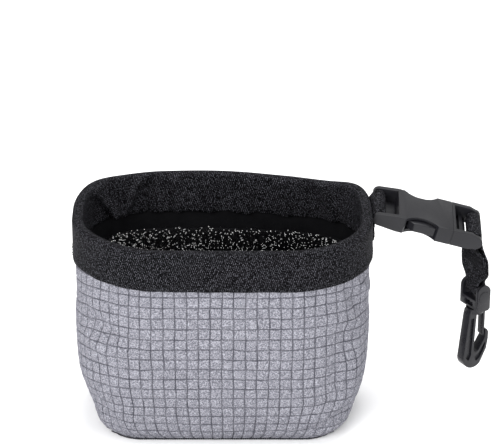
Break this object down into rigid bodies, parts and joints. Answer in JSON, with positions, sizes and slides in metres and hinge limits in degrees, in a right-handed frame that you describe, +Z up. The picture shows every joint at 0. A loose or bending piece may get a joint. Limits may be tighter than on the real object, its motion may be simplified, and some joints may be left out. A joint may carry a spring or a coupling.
{
  "type": "club groove cleaning pouch",
  "caption": "Free-standing fabric pouch lined with bristle mats that scrub a golf club's grooves, with a side-release buckle, webbing loop and swivel snap hook.",
  "frame": {"origin": "middle of the base, on the surface that the pouch stands on", "axes": "+Z up out of the mouth, +X towards the buckle, -Y the front"},
  "size_m": [0.1991, 0.0924, 0.1082],
  "materials": {
    "fleece": "grid fleece, matt",
    "webbing": "ribbed woven webbing",
    "liner": "smooth coated cloth",
    "mat": "woven mat backing",
    "bristle": "nylon filament",
    "thread": "polyester thread",
    "grey_thread": "polyester thread",
    "buckle_plastic": "satin moulded",
    "hook_plastic": "satin moulded"
  },
  "bodies": {
    "pouch": {"shell_front": "fleece", "shell_back": "fleece", "shell_base": "fleece", "liner_front": "liner", "liner_back": "liner", "liner_base": "liner", "bristle_mat_front": "mat", "bristle_mat_back": "mat", "bristles_front": "bristle", "bristles_back": "bristle", "rim_binding": "webbing", "rim_stitching": "thread", "base_stitching": "grey_thread", "side_seams": "grey_thread", "tab_webbing": "webbing", "tab_stitching": "thread"},
    "socket": {"buckle_female": "buckle_plastic"},
    "plug": {"buckle_male": "buckle_plastic"},
    "near_prong": {"buckle_prong_near": "buckle_plastic"},
    "far_prong": {"buckle_prong_far": "buckle_plastic"},
    "strap": {"strap_loop": "webbing", "strap_stitching": "thread"},
    "eye": {"hook_yoke": "hook_plastic"},
    "hook": {"hook_body": "hook_plastic"},
    "gate": {"hook_gate": "hook_plastic"}
  },
  "joints": [
    {"name": "buckle_swing", "type": "hinge", "parent": "pouch", "child": "socket", "pos_m": [0.074, 0.01, 0.1035], "axis": [0.036, 0.9903, 0.1344], "range_deg": [-60, 25]},
    {"name": "buckle_release", "type": "slide", "parent": "socket", "child": "plug", "axis": [0.9659, 0, -0.2588], "range_m": [0, 0.03], "deforming": ["buckle_prong_near", "buckle_prong_far"]},
    {"name": "near_prong_squeeze", "type": "hinge", "parent": "plug", "child": "near_prong", "pos_m": [0.10633, 0.00138, 0.09358], "axis": [0.2563, -0.1392, 0.9565], "range_deg": [-12, 0], "stiffness_Nm_per_rad": 0.05},
    {"name": "far_prong_squeeze", "type": "hinge", "parent": "plug", "child": "far_prong", "pos_m": [0.10696, 0.01862, 0.09592], "axis": [0.2563, -0.1392, 0.9565], "range_deg": [0, 12], "stiffness_Nm_per_rad": 0.05},
    {"name": "strap_swing", "type": "hinge", "parent": "plug", "child": "strap", "pos_m": [0.11959, 0.01, 0.09128], "axis": [-0.036, -0.9903, -0.1344], "range_deg": [-25, 60]},
    {"name": "hook_swing", "type": "hinge", "parent": "strap", "child": "eye", "pos_m": [0.1212, 0.01, 0.0603], "axis": [0.5299, -0.848, 0], "range_deg": [-30, 40]},
    {"name": "hook_swivel", "type": "hinge", "parent": "eye", "child": "hook", "pos_m": [0.1212, 0.01, 0.0523], "axis": [0, 0, 1], "continuous": true},
    {"name": "gate_open", "type": "hinge", "parent": "hook", "child": "gate", "pos_m": [0.12493, 0.01233, 0.04685], "axis": [-0.5299, 0.848, 0], "range_deg": [0, 22], "stiffness_Nm_per_rad": 0.02}
  ],
  "couplings": [
    {"joint": "far_prong_squeeze", "follows": "near_prong_squeeze", "ratio": -1}
  ]
}
